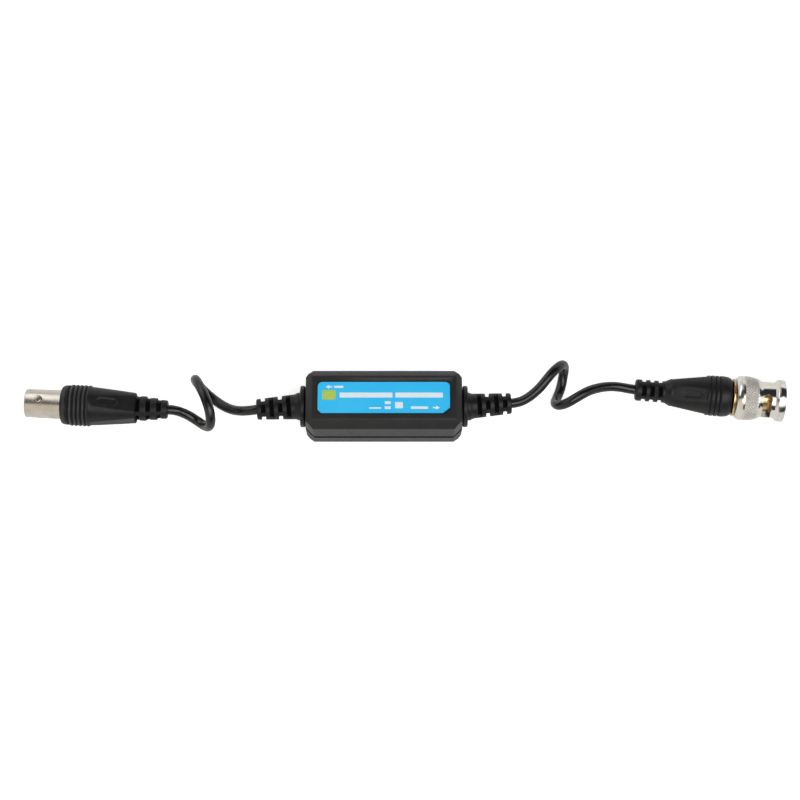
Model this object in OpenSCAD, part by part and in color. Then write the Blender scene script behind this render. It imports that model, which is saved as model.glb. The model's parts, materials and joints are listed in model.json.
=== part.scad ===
// Ground loop isolator for video cables: a small two-shell box with a transformer inside and a short
// coaxial tail at each end, one ending in a bayonet jack and the other in a bayonet plug.
// Millimetres. +X points from the jack to the plug, +Z is up, and the origin is under the box's middle.

/* [Box] */
// Length of the box at the seam
box_l = 52.6; // [50:0.2:80]
// Depth of the box at the seam, front to back
box_d = 21; // [20.4:0.2:34]
// Height of the box
box_h = 20; // [19:0.2:32]
// Thickness of the shell walls
wall = 1.8; // [1.4:0.1:2.2]
// How much each wall leans in between the seam and its chamfer
draft = 0.3; // [0.1:0.05:0.5]
// Chamfer along the long edges
side_chamfer = 2.7; // [1.6:0.1:3]
// Chamfer along the short edges
end_chamfer = 2.1; // [1.2:0.1:3]
// Chamfer of the four upright corners
corner_chamfer = 3.1; // [1:0.1:3.4]
// Height of the shadow groove along the seam
seam_gap = 1.1; // [0.2:0.05:1.2]
// Depth of the shadow groove
seam_depth = 0.6; // [0.2:0.05:0.6]
// Height of the tongue that aligns the two shells
tongue_h = 1.4; // [0.8:0.1:2]

/* [Label] */
// Length of the label
label_l = 43.8; // [36:0.2:44.4]
// Width of the label
label_w = 10.8; // [9:0.2:12]
// Thickness of the label
label_t = 0.2; // [0.1:0.05:0.25]
// Depth of the recess that holds the label
label_recess = 0.35; // [0.3:0.05:0.6]
// Width of the open rim of the recess round the label
label_rim = 0.35; // [0.2:0.05:0.5]
// Radius of the label's two back corners
label_r = 1.6; // [0.8:0.1:2]
// Cut of the label's front left corner
label_cut_left = 1.2; // [0.6:0.1:2]
// Cut of the label's front right corner
label_cut_right = 2.4; // [1.2:0.1:3]
// Thickness of the printed layer
print_t = 0.04; // [0.02:0.01:0.1]

/* [Circuit] */
// Room between each end of the circuit board and the end wall
board_end_room = 5.5; // [4.5:0.1:6]
// Room between each side of the circuit board and the side wall
board_side_room = 1.5; // [0.7:0.1:1.7]
// Thickness of the circuit board
board_t = 1.2; // [0.8:0.1:1.6]
// Height of the board's underside over the bottom of the box
board_z = 5.4; // [4.8:0.1:6]
// Radius of the posts that carry the board
post_r = 1.7; // [1.5:0.1:2]
// Radius of the pegs that locate the board
peg_r = 0.8; // [0.5:0.05:1]
// Room between the transformer's ferrite ring and the sides of the board
core_room = 0.85; // [0.7:0.05:1.4]
// Width of the ferrite ring's section
core_w = 2.75; // [2.5:0.05:3]
// Height of the ferrite ring
core_h = 4.9; // [3.5:0.1:6]
// Thickness of the winding
winding_t = 0.35; // [0.25:0.05:0.4]
// Diameter of the winding's wire
wire_d = 0.5; // [0.45:0.05:0.6]
// Turns of each winding that show
turns = 12; // [8:1:14]
// Diameter of the disc capacitor
cap_d = 6.4; // [5:0.1:7]
// Thickness of the disc capacitor
cap_t = 2; // [1.5:0.1:3]
// Length of the resistor's body
resistor_l = 6; // [4.5:0.1:6.4]
// Diameter of the resistor's body
resistor_d = 2.2; // [1.6:0.1:2.6]

/* [Cable and grommets] */
// Diameter of the cable's jacket
cable_d = 3.3; // [2.9:0.05:3.6]
// Diameter of the cable's inner insulation
dielectric_d = 1.5; // [1.2:0.1:1.8]
// Diameter of the cable's inner conductor
conductor_d = 0.5; // [0.4:0.05:0.6]
// Diameter of the grommet's outer flange
flange_d = 13.9; // [12:0.1:15]
// Thickness of the grommet's outer flange
flange_t = 1.7; // [1.2:0.1:2.2]
// Diameter of the neck in the box's end hole
neck_d = 8.8; // [8:0.1:9.4]
// Diameter of the flange inside the box
inner_flange_d = 11.2; // [10:0.1:11.8]
// Thickness of the flange inside the box
inner_flange_t = 1.6; // [1.2:0.1:2]
// Length of the grommet's flexible part
flex_l = 14.7; // [14.2:0.1:18]
// Diameter of the flexible part at the flange
flex_d = 9.4; // [8.6:0.1:10.4]
// Diameter of the flexible part at its free end
flex_end_d = 7; // [6.6:0.1:8]
// Width of the slots in every strain relief
slot_w = 1.4; // [0.8:0.1:1.6]
// Distance between the grommet's slots
slot_pitch = 2.85; // [2.4:0.05:2.9]
// Diameter of the sleeve of plastic under the slots
slot_core_d = 4.5; // [4.4:0.1:5.6]
// Sideways lean of both grommets' flexible parts, degrees
flex_lean = 4.2; // [0:0.2:6]
// Turn of the grommets' slots towards the front of the box, degrees
flex_turn = 16; // [0:1:45]

/* [Jack] */
// Diameter of the jack's barrel
barrel_d = 9.65; // [9.5:0.05:9.7]
// Length of barrel that stands out of the boot
barrel_l = 12; // [11:0.1:14]
// Wall of the barrel at its mouth
barrel_wall = 0.75; // [0.6:0.05:0.8]
// Depth of the barrel's bore
barrel_depth = 8.9; // [8.6:0.1:9.6]
// Diameter of the two bayonet studs
stud_d = 2.2; // [1.9:0.05:2.3]
// Distance across the tips of the studs
stud_span = 11; // [10.8:0.1:11.1]
// Distance from the barrel's mouth to the studs
stud_at = 4.8; // [4.6:0.1:5]
// Diameter of the jack's inner insulator
jack_insulator_d = 4.9; // [4.6:0.1:4.9]
// Diameter of the jack's middle contact
socket_d = 2.2; // [2:0.1:2.4]
// Diameter of the hole in the middle contact
socket_bore = 1.45; // [1.4:0.05:1.5]
// Length of the jack's boot
jack_boot_l = 35.9; // [35:0.1:39]
// Largest diameter of the jack's boot, over the ribs
jack_boot_d = 13.9; // [13.2:0.1:13.9]
// Height of the ribs
rib_h = 0.3; // [0.1:0.05:0.35]
// Number of ribs round the jack's boot
ribs = 5; // [3:1:6]
// Distance between ribs
rib_pitch = 1.42; // [1.2:0.02:1.5]

/* [Plug] */
// Length of the plug's boot
plug_boot_l = 32.4; // [32:0.1:36]
// Largest diameter of the plug's boot
plug_boot_d = 13.7; // [13.2:0.1:14.2]
// Diameter of the collar behind the coupling sleeve
collar_d = 12.6; // [12:0.1:13.8]
// Thickness of the collar
collar_t = 1.2; // [0.8:0.1:1.4]
// Length of the coupling sleeve
sleeve_l = 16.4; // [16:0.1:18]
// Diameter of the knurled drum
drum_d = 15.1; // [14.5:0.1:15.1]
// Diameter of the sleeve's neck
sleeve_neck_d = 12.05; // [11.9:0.05:12.4]
// Diameter of the lip at the sleeve's mouth
lip_d = 14.2; // [13.4:0.1:14.8]
// Bore of the sleeve, which goes over the jack's barrel
sleeve_bore = 9.9; // [9.85:0.05:10]
// Diameter of the body's stem, on which the sleeve turns
stem_d = 7.4; // [7:0.1:7.6]
// Diameter of the slotted outer contact
outer_contact_d = 8.05; // [7.9:0.05:8.1]
// Inner diameter of the slotted outer contact
outer_contact_bore = 6.9; // [6.7:0.1:7.1]
// Length of the outer contact
outer_contact_l = 9.2; // [8.8:0.1:9.6]
// Diameter of the plug's pin
pin_d = 1.35; // [1.3:0.01:1.37]
// Diameter of the pin's rear, which the insulator grips
pin_rear_d = 2; // [1.7:0.1:2.2]
// Width of the bayonet slots
bayonet_w = 2.9; // [2.7:0.1:3.1]
// Diameter of the round hole that ends each bayonet slot
bayonet_hole_d = 3.3; // [3:0.1:3.5]
// Quarter turn that the bayonet slots run through, degrees
bayonet_sweep = 80; // [70:1:90]
// How far the sleeve moves forward on its spring washer
sleeve_travel = 0.8; // [0.4:0.1:1]

/* [Fits] */
// Gap round a turning or sliding fit, on the radius
running = 0.05; // [0.03:0.01:0.08]
// Gap between pieces that are moulded or pressed together, on the radius
snug = 0.03; // [0.02:0.01:0.05]

/* [Hidden] */
$fn = 64;

// Colours
black_plastic = [0.13, 0.13, 0.14];
black_rubber = [0.09, 0.09, 0.1];
nickel = [0.78, 0.76, 0.73];
gold = [0.83, 0.66, 0.3];
copper = [0.72, 0.4, 0.2];
white_plastic = [0.92, 0.92, 0.88];

// The box: the seam is at half height, on the axis of both grommets
axis_z = box_h / 2;
half_l = box_l / 2;
inset_chamfer = 2 - sqrt(2);
tongue_inset = wall / 2;
cavity_end = half_l - wall;

// Board, posts and what stands on the board
board_l = box_l - 2 * (wall + board_end_room);
board_w = box_d - 2 * (wall + board_side_room);
board_top = board_z + board_t;
post_x = board_l / 2 - 2.4;
post_y = board_w / 2 - 2;
pad_x = board_l / 2 - 5;
braid_pad = [board_l / 2 - 3.2, post_y - post_r - 1.1];
core_d = board_w - 2 * core_room;
core_bore = core_d - 2 * core_w;
lead_hole_r = 0.4;
lead_below = 0.8;
lead_d = 0.55;
core_z = board_top + winding_t + wire_d / 2 + 0.05;
core_gap = 0.05;
winding_angle = 140;
cap_x = board_l / 2 - 6.8;
cap_lead_y = 2.5;
resistor_x = -cap_x;
resistor_lead_y = resistor_l / 2 + 1.6;

lead_ring = core_d / 2 - 0.6;
winding_ends = [
    90 - winding_angle / 2 + 3, 90 + winding_angle / 2 - 3,
    270 - winding_angle / 2 + 3, 270 + winding_angle / 2 - 3
];

// Label: the floor of its recess
label_z = box_h - label_recess;

// Grommets: what they hold, how far they stand in behind the leaning wall, and where their slots are
cable_bore = cable_d + 4 * snug;
inner_gap = snug + draft * inner_flange_d / 2 / (axis_z - end_chamfer);
inner_flange_at = -wall - inner_gap - inner_flange_t;
rib_t = 1.2;
rib_at = half_l + inner_flange_at - snug - rib_t / 2;
cable_end = cavity_end - 3.6;
first_slot = 3.9;
flex_round = 0.5;

// Jack: its place, the way it lies, and where its inner pieces begin and end along its axis
jack_at = [-120.7, 2.2, 7];
jack_yaw = -2.8;
jack_flange_d = 11;
jack_stem_d = 6.8;
jack_flange_at = barrel_l + 1;
jack_flange_t = 1.5;
jack_stem_end = jack_flange_at + jack_flange_t + 9;
nipple_d = 5;
nipple_l = 4;
jack_nipple_end = jack_stem_end + nipple_l;
jack_cable_at = jack_nipple_end + 0.4;
ferrule_l = 10;
ferrule_t = 0.5;
ferrule_inner = nipple_d + 0.3;
ferrule_outer = ferrule_inner + 2 * ferrule_t;
jack_insulator_at = 0.7;
jack_contact_at = 0.9;
jack_inner_d = 4.2;
first_rib = 3.8;
jack_taper_at = 10.4;
jack_taper_end = 25.3;
jack_slots = [26, 29.5, 33.1];
jack_flats = [6.3, 4.5];
jack_mark_at = 16;
mark_depth = 0.25;

// Plug: its place, the way it lies, and where its pieces begin and end along its axis
plug_at = [84.7, 6.7, 7.6];
plug_yaw = -4.6;
plug_roll = 18;
plug_slots = [2.9, 5.65, 8.4];
plug_grooves = [25, 26.6, 28.1];
plug_groove_w = 0.5;
plug_groove_h = 0.35;
plug_flats = [4.5, 6.35];
plug_flats_at = 12;
plug_flats_end = plug_grooves[0] - 1;
plug_mark_at = 19;
collar_at = plug_boot_l + 0.05;
sleeve_at = collar_at + collar_t + 0.05;
sleeve_flange_t = 2.2;
slip_at = sleeve_at + sleeve_flange_t + 0.02;
slip_t = 0.4;
wave_at = slip_at + slip_t + 0.02;
wave_t = 0.25;
wave_h = sleeve_travel + wave_t + 0.45;
shoulder_at = wave_at + wave_h + 0.02;
shoulder_t = 1.2;
contact_at = shoulder_at + shoulder_t;
contact_end = contact_at + outer_contact_l;
gasket_t = 0.8;
plug_stem_at = 22.5;
plug_nipple_at = plug_stem_at - nipple_l;
plug_cable_at = plug_nipple_at - 0.4;
plug_cup_l = 5;
plug_core_d = 4.4;
cup_at = contact_at + 0.8 + snug;
pin_shoulder_at = cup_at + 1;
sleeve_end = sleeve_at + sleeve_l;
bayonet_at = sleeve_at + 10.3;
groove_d = stud_span + 0.4;

// Route of the left cable's middle line, from inside the jack's boot to inside the box
left_route = [
    [-92.5, 0.82, 7], [-88.5, 0.63, 7], [-84.5, 0.43, 7], [-80.6, 0.24, 7], [-76.6, 0.04, 7],
    [-72.9, -0.14, 6.98], [-70.5, -0.3, 6.6], [-68.2, -0.7, 5.5], [-65.9, -1.5, 4.4], [-63.6, -2.8, 3.7],
    [-61.3, -4.5, 4.3], [-59.6, -5.9, 6.2], [-58.5, -6.4, 8.9], [-57.9, -5.7, 11.6],
    [-58, -3.7, 13.7], [-58.7, -1, 14.8], [-59.8, 1.9, 14.9], [-61.1, 4.8, 14.1],
    [-62.4, 7.4, 12.5], [-63.4, 9.4, 10.2], [-63.8, 10.2, 7.5], [-63.2, 9.7, 4.9],
    [-61.5, 8.1, 3.1], [-59.1, 6, 2.4], [-56.4, 3.8, 2.6], [-53.8, 1.9, 3.6],
    [-51.2, 0.4, 5.2], [-48.8, -0.6, 7.1], [-46.2, -1.1, 8.7], [-43.9, -1.18, 9.7],
    [-42.2, -1.04, 10], [-40.6, -0.92, 10], [-36.6, -0.63, 10], [-32.4, -0.32, 10], [-28, 0, 10],
    [-24, 0, 10], [-cable_end, 0, 10]
];

// Route of the right cable's middle line, from inside the box to inside the plug's boot
right_route = [
    [cable_end, 0, 10], [24, 0, 10], [28, 0, 10], [32.4, 0.32, 10], [36.6, 0.63, 10],
    [40.6, 0.92, 10], [42.2, 1.04, 10], [43.9, 1.24, 10.08], [45.9, 1.7, 10.3], [48.1, 2.7, 10.8],
    [50.3, 4.2, 11.5], [52.4, 6.1, 12.2], [54.4, 8.4, 12.7], [56.3, 10.8, 12.6],
    [58.2, 13, 11.6], [59.8, 14.7, 9.8], [60.9, 15.4, 7.4], [61.2, 14.8, 4.9],
    [60.9, 12.9, 3], [60.4, 10.4, 2.1], [59.6, 7.7, 2.1], [58.6, 5.2, 3],
    [57.9, 3.1, 4.8], [58.2, 1.5, 7.2], [59.5, 0.7, 9.5], [61.5, 0.9, 11.2],
    [63.9, 2, 12.3], [66.4, 3.5, 12.4], [68.9, 5, 11.7], [71.6, 6.2, 10.6],
    [74.5, 7.1, 9.5], [77.4, 7.5, 8.6], [80.2, 7.4, 8], [82.9, 7, 7.7],
    [85.7, 6.62, 7.6], [89.3, 6.33, 7.6], [93.2, 6.02, 7.6], [97.4, 5.68, 7.6], [102.6, 5.26, 7.6]
];

// Outline of the box's section: half width at the seam, height, chamfer, all moved in by t
function shell_section(half, chamfer, t) =
    let (
        c = chamfer - inset_chamfer * t,
        seam = half - t,
        side = half - draft - t,
        low = t,
        high = box_h - t
    )
    [
        [-side + c, low], [side - c, low], [side, low + c], [seam, axis_z], [side, high - c],
        [side - c, high], [-side + c, high], [-side, high - c], [-seam, axis_z], [-side, low + c]
    ];

// Outline of the box from above, moved in by t
function plan_section(t) =
    let (
        x = half_l - t,
        y = box_d / 2 - t,
        c = corner_chamfer - inset_chamfer * t
    )
    [
        [-x + c, -y], [x - c, -y], [x, -y + c], [x, y - c],
        [x - c, y], [-x + c, y], [-x, y - c], [-x, -y + c]
    ];

// Points of an arc in a half section, as [radius, place along the axis]
function arc(centre, r, from, to, steps = 6) =
    [for (i = [0:steps]) let (a = from + (to - from) * i / steps) centre + r * [cos(a), sin(a)]];

// The solid of the box, moved in by t on every side
module box_solid(t = 0) {
    intersection() {
        rotate([90, 0, 90])
            linear_extrude(box_l + 2, center = true) polygon(shell_section(box_d / 2, side_chamfer, t));
        rotate([90, 0, 0])
            linear_extrude(box_d + 2, center = true) polygon(shell_section(half_l, end_chamfer, t));
        linear_extrude(box_h) polygon(plan_section(t));
    }
}

// A slab of everything between two heights
module between(z0, z1) {
    translate([-box_l, -box_d, z0]) cube([2 * box_l, 2 * box_d, z1 - z0]);
}

// A round rod from one point to another
module rod(from, to, d) {
    v = to - from;
    translate(from)
        rotate([0, acos(v[2] / norm(v)), atan2(v[1], v[0])]) cylinder(h = norm(v), d = d);
}

// A lead that passes through the given points, each stretch run on a little at its bends
module lead(points, d) {
    last = len(points) - 1;
    for (i = [1:last]) {
        run = unit(points[i] - points[i - 1]) * d * 0.4;
        rod(points[i - 1] - (i == 1 ? 0 : 1) * run, points[i] + (i == last ? 0 : 1) * run, d);
    }
}

// Places its children on each of the four posts
module at_posts() {
    for (sx = [-1, 1], sy = [-1, 1]) translate([sx * post_x, sy * post_y, 0]) children();
}

// Holes in both ends of the box for the grommets' necks
module neck_holes() {
    for (s = [-1, 1])
        translate([s * (half_l - wall / 2), 0, axis_z]) rotate([0, 90, 0])
            cylinder(h = 2 * wall, d = neck_d + 2 * snug, center = true);
}

// The pair of cross ribs that trap the grommets' inner flanges, before the box's shape trims them
module flange_ribs() {
    for (s = [-1, 1])
        translate([s * rib_at, 0, axis_z])
            difference() {
                cube([rib_t, box_d, box_h], center = true);
                rotate([0, 90, 0]) cylinder(h = 2 * rib_t, d = cable_d + 0.3, center = true);
            }
}

// Bottom half of the box, with its tongue, ribs and board posts
module lower_shell() {
    color(black_plastic) {
        difference() {
            union() {
                intersection() {
                    box_solid();
                    between(0, axis_z - seam_gap);
                }
                intersection() {
                    box_solid(seam_depth);
                    between(axis_z - seam_gap - 1, axis_z);
                }
                intersection() {
                    box_solid(tongue_inset + running);
                    between(axis_z - 1, axis_z + tongue_h);
                }
            }
            difference() {
                box_solid(wall);
                intersection() {
                    flange_ribs();
                    between(0, axis_z - running);
                }
                at_posts() cylinder(h = board_z, r = post_r);
                at_posts() cylinder(h = board_top + 1, r = peg_r);
            }
            neck_holes();
        }
    }
}

// Top half of the box, with the recess for the label and posts that hold the board down
module upper_shell() {
    color(black_plastic) {
        difference() {
            intersection() {
                box_solid();
                between(axis_z, box_h);
            }
            difference() {
                box_solid(wall);
                intersection() {
                    flange_ribs();
                    between(axis_z + tongue_h + 0.1, box_h);
                }
                at_posts()
                    translate([0, 0, board_top + running]) cylinder(h = box_h - board_top, r = post_r);
            }
            intersection() {
                box_solid(tongue_inset);
                between(axis_z - 1, axis_z + tongue_h + 0.1);
            }
            neck_holes();
            translate([0, 0, box_h - label_recess])
                linear_extrude(label_recess + 1) label_outline(label_rim);
        }
        difference() {
            at_posts() translate([0, 0, board_top + running])
                cylinder(h = axis_z + 2 - board_top - running, r = post_r);
            at_posts() cylinder(h = board_top + 1.2, r = peg_r + 0.1);
        }
    }
}

// Outline of the label, made larger by rim: round at the back corners, cut at the front ones
module label_outline(rim = 0) {
    x = label_l / 2 + rim;
    y = label_w / 2 + rim;
    polygon(concat(
        [[-x, -y + label_cut_left], [-x + label_cut_left, -y]],
        [[x - label_cut_right, -y], [x, -y + label_cut_right * 0.8]],
        arc([x - label_r, y - label_r], label_r, 0, 90),
        arc([-x + label_r, y - label_r], label_r, 90, 180)
    ));
}

// The blue label in its recess
module label() {
    color([0.2, 0.66, 0.93]) translate([0, 0, label_z]) linear_extrude(label_t) label_outline();
}

// A plain arrow, pointing along +X for a length of l
module arrow(l, w) {
    polygon([
        [0, -w / 6], [l * 0.45, -w / 6], [l * 0.45, -w / 2], [l, 0],
        [l * 0.45, w / 2], [l * 0.45, w / 6], [0, w / 6]
    ]);
}

// A plain bar of a given middle, length and width
module bar(x, y, l, w) {
    translate([x, y]) square([l, w], center = true);
}

// White bars and arrows printed on the label
module label_print() {
    l = label_l;
    w = label_w;
    color([0.95, 0.97, 0.98]) translate([0, 0, label_z + label_t]) linear_extrude(print_t) {
        translate([-l * 0.39, w * 0.34]) mirror([1, 0]) arrow(l * 0.05, w * 0.13);
        bar(-l * 0.342, w * 0.34, l * 0.07, w * 0.07);
        bar(-l * 0.134, w * 0.075, l * 0.4, w * 0.16);
        bar(l * 0.267, w * 0.075, l * 0.36, w * 0.16);
        bar(l * 0.03, -w * 0.17, l * 0.045, w * 0.09);
        bar(l * 0.03, -w * 0.33, l * 0.045, w * 0.09);
        bar(-l * 0.065, -w * 0.34, l * 0.09, w * 0.045);
        bar(l * 0.115, -w * 0.25, l * 0.06, w * 0.2);
        bar(l * 0.27, -w * 0.33, l * 0.13, w * 0.08);
        translate([l * 0.37, -w * 0.33]) arrow(l * 0.055, w * 0.13);
    }
}

// Yellow-green block printed on the label
module label_badge() {
    color([0.78, 0.85, 0.2]) translate([0, 0, label_z + label_t]) linear_extrude(print_t)
        bar(-label_l * 0.415, label_w * 0.08, label_l * 0.1, label_w * 0.3);
}

// Circuit board with its peg holes and lead holes
module circuit_board() {
    color([0.1, 0.42, 0.22])
        difference() {
            translate([-board_l / 2, -board_w / 2, board_z]) cube([board_l, board_w, board_t]);
            at_posts() cylinder(h = box_h, r = peg_r + running);
            for (s = [-1, 1]) {
                translate([s * pad_x, 0, 0]) cylinder(h = box_h, r = lead_hole_r);
                translate([s * braid_pad[0], braid_pad[1], 0]) cylinder(h = box_h, r = lead_hole_r);
                translate([cap_x, s * cap_lead_y, 0]) cylinder(h = box_h, r = lead_hole_r);
                translate([resistor_x, s * resistor_lead_y, 0]) cylinder(h = box_h, r = lead_hole_r);
            }
            for (a = winding_ends)
                rotate([0, 0, a]) translate([lead_ring, 0, 0]) cylinder(h = box_h, r = lead_hole_r);
        }
}

// Ferrite ring of the isolation transformer
module transformer_core() {
    color([0.3, 0.3, 0.32]) translate([0, 0, core_z]) rotate_extrude() polygon([
        [core_bore / 2, 0.3], [core_bore / 2 + 0.3, 0], [core_d / 2 - 0.3, 0], [core_d / 2, 0.3],
        [core_d / 2, core_h - 0.3], [core_d / 2 - 0.3, core_h], [core_bore / 2 + 0.3, core_h],
        [core_bore / 2, core_h - 0.3]
    ]);
}

// Outline of the ring's section, made larger on every side by t
module ring_section(t) {
    translate([core_bore / 2 - t, core_z - t]) square([(core_d - core_bore) / 2 + 2 * t, core_h + 2 * t]);
}

// Section of a winding round the ring, between two distances from the ferrite
module winding_section(inner, outer) {
    difference() {
        ring_section(outer);
        ring_section(inner);
    }
}

// One of the two windings, centred on the given angle, with its two leads into the board
module winding(middle) {
    rotate([0, 0, middle - winding_angle / 2]) {
        rotate_extrude(angle = winding_angle) winding_section(core_gap, core_gap + winding_t - wire_d / 4);
        for (i = [0:turns - 1])
            rotate([90, 0, (i + 0.5) * winding_angle / turns])
                linear_extrude(wire_d, center = true)
                    winding_section(core_gap + winding_t / 3, core_gap + winding_t + wire_d / 4);
    }
    for (a = [middle - winding_angle / 2 + 3, middle + winding_angle / 2 - 3])
        rotate([0, 0, a]) translate([lead_ring, 0, board_z - lead_below])
            cylinder(h = board_t + lead_below + winding_t + 0.15, d = lead_d);
}

// Winding on the jack's side of the isolation
module primary_winding() {
    color(copper) winding(90);
}

// Winding on the plug's side of the isolation
module secondary_winding() {
    color(copper * 0.85) winding(270);
}

// Ceramic disc capacitor that bridges the isolation for high frequencies
module bridging_capacitor() {
    color([0.85, 0.5, 0.2]) {
        translate([cap_x, 0, board_top + cap_d / 2 + 0.9]) rotate([0, 90, 0])
            rotate_extrude() polygon([
                [0, -cap_t / 2], [cap_d / 2 - 0.7, -cap_t / 2], [cap_d / 2, -cap_t / 4],
                [cap_d / 2, cap_t / 4], [cap_d / 2 - 0.7, cap_t / 2], [0, cap_t / 2]
            ]);
        for (s = [-1, 1])
            rod(
                [cap_x, s * cap_lead_y, board_z - lead_below],
                [cap_x, s * cap_lead_y, board_top + cap_d / 2 + 0.4], lead_d
            );
    }
}

// Resistor across the isolation
module bleed_resistor() {
    z = board_top + resistor_d / 2 + 0.05;
    color([0.8, 0.72, 0.5]) {
        translate([resistor_x, 0, z]) rotate([90, 0, 0]) {
            cylinder(h = resistor_l, d = resistor_d - 0.4, center = true);
            for (s = [-1, 1])
                translate([0, 0, s * (resistor_l - 1.6) / 2])
                    cylinder(h = 1.6, d = resistor_d, center = true);
        }
        lead([
            [resistor_x, -resistor_lead_y, board_z - lead_below], [resistor_x, -resistor_lead_y, z],
            [resistor_x, resistor_lead_y, z], [resistor_x, resistor_lead_y, board_z - lead_below]
        ], lead_d);
    }
}

// Unit vector along v
function unit(v) = v / norm(v);

// Direction of a route at point i
function heading(p, i) =
    i == 0 ? unit(p[1] - p[0])
    : i == len(p) - 1 ? unit(p[i] - p[i - 1])
    : unit(unit(p[i] - p[i - 1]) + unit(p[i + 1] - p[i]));

// Side vectors carried along the route with no twist
function sides(p, i = 0, side = [0, 0, 1]) =
    let (t = heading(p, i), s = unit(side - t * (side * t)))
    i == len(p) - 1 ? [s] : concat([s], sides(p, i + 1, s));

// A tube of 8 sides swept along a route
module swept(p, d) {
    n = 8;
    s = sides(p);
    rings = [
        for (i = [0:len(p) - 1], k = [0:n - 1])
            let (a = 360 * k / n, c = cross(heading(p, i), s[i]))
                p[i] + d / 2 * (cos(a) * s[i] + sin(a) * c)
    ];
    walls = [
        for (i = [0:len(p) - 2], k = [0:n - 1], half = [0, 1])
            let (j = (k + 1) % n, a = i * n)
                half == 0 ? [a + k, a + j, a + n + j] : [a + k, a + n + j, a + n + k]
    ];
    last = (len(p) - 1) * n;
    caps = [[for (k = [n - 1:-1:0]) k], [for (k = [0:n - 1]) last + k]];
    polyhedron(rings, concat(
        [for (w = walls) [w[2], w[1], w[0]]],
        [for (c = caps) [for (k = [n - 1:-1:0]) c[k]]]
    ));
}

// Cable from the jack to the box
module left_cable() {
    color(black_rubber) swept(left_route, cable_d);
}

// Cable from the box to the plug
module right_cable() {
    color(black_rubber) swept(right_route, cable_d);
}

// Cuts one ring of slots into a strain relief whose axis is Z, leaving webs at the given angles
module slots(at, webs, web_w, core_d, outer_d) {
    translate([0, 0, at - slot_w / 2])
        difference() {
            cylinder(h = slot_w, d = outer_d);
            translate([0, 0, -1]) cylinder(h = slot_w + 2, d = core_d);
            for (a = webs)
                rotate([0, 0, a]) translate([0, -web_w / 2, -1]) cube([outer_d, web_w, slot_w + 2]);
        }
}

// A grommet along +Z from the box's end face, leaning and turned one way at each end of the box
module grommet(side) {
    difference() {
        union() {
            translate([0, 0, inner_flange_at]) cylinder(h = inner_flange_t, d = inner_flange_d);
            translate([0, 0, inner_flange_at]) cylinder(h = flange_t - inner_flange_at, d = neck_d);
            rotate_extrude() polygon([
                [0, 0.05], [flange_d / 2 - 0.3, 0.05], [flange_d / 2, 0.35],
                [flange_d / 2, flange_t - 0.3], [flange_d / 2 - 0.3, flange_t], [0, flange_t]
            ]);
            translate([0, 0, flange_t]) rotate([side * flex_lean, 0, 0]) flexible_part(-side * flex_turn);
        }
        translate([0, 0, inner_flange_at - 1])
            cylinder(h = flange_t - inner_flange_at + 1.1, d = cable_bore + 0.3);
        translate([0, 0, flange_t]) rotate([side * flex_lean, 0, 0])
            translate([0, 0, -0.3]) cylinder(h = flex_l + 1, d = cable_bore);
    }
}

// The tapered, slotted part of a grommet: rings with two broad webs and with four narrow ones by turns
module flexible_part(turn) {
    difference() {
        rotate_extrude() polygon(concat(
            [[0, -0.3], [flex_d / 2, -0.3], [flex_d / 2, 0.6], [flex_d / 2 - 0.5, 1.8]],
            arc([flex_end_d / 2 - flex_round, flex_l - flex_round], flex_round, 0, 90, 4),
            [[0, flex_l]]
        ));
        for (i = [0:3])
            slots(
                first_slot + i * slot_pitch,
                i % 2 == 0 ? [turn + 90, turn + 270] : [turn - 35, turn + 35, turn + 145, turn + 215],
                i % 2 == 0 ? 2.6 : 1.3, slot_core_d, flex_d + 2
            );
    }
}

// Grommet at the jack's end of the box
module left_grommet() {
    color(black_rubber) translate([-half_l, 0, axis_z]) rotate([0, -90, 0]) grommet(1);
}

// Grommet at the plug's end of the box
module right_grommet() {
    color(black_rubber) translate([half_l, 0, axis_z]) rotate([0, 90, 0]) grommet(-1);
}

// Bared inner insulation of a cable inside the box, for the end on side s
module dielectric(s) {
    rod([s * cable_end, 0, axis_z], [s * (pad_x + 1.8), 0, axis_z], dielectric_d);
}

// Inner conductor from the insulation to its pad
module core_wire(s) {
    lead([
        [s * (pad_x + 1.78), 0, axis_z], [s * pad_x, 0, axis_z], [s * pad_x, 0, board_z - lead_below]
    ], conductor_d);
}

// Braid, twisted into a tail, from the jacket's end to its pad
module braid(s) {
    x = s * (cable_end - 0.02);
    tail_y = dielectric_d / 2 + lead_d / 2 + 0.05;
    lead([
        [x, tail_y, axis_z], [s * (cable_end - 0.8), tail_y, axis_z],
        [s * braid_pad[0], braid_pad[1], board_top + 0.8],
        [s * braid_pad[0], braid_pad[1], board_z - lead_below]
    ], lead_d);
}

// Bared insulation of the left cable
module left_dielectric() {
    color(white_plastic) dielectric(-1);
}

// Bared insulation of the right cable
module right_dielectric() {
    color(white_plastic) dielectric(1);
}

// Inner conductor of the left cable
module left_core_wire() {
    color(copper) core_wire(-1);
}

// Inner conductor of the right cable
module right_core_wire() {
    color(copper) core_wire(1);
}

// Braid tail of the left cable
module left_braid() {
    color(copper) braid(-1);
}

// Braid tail of the right cable
module right_braid() {
    color(copper) braid(1);
}

// Turns the jack's own axis, which is Z with the mouth at 0, to where the jack lies
module at_jack() {
    translate(jack_at) rotate([0, 0, jack_yaw]) rotate([0, 90, 0]) children();
}

// Turns the plug's own axis, which is Z with the cable's end at 0, to where the plug lies
module at_plug() {
    translate(plug_at) rotate([0, 0, plug_yaw]) rotate([0, 90, 0]) children();
}

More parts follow.
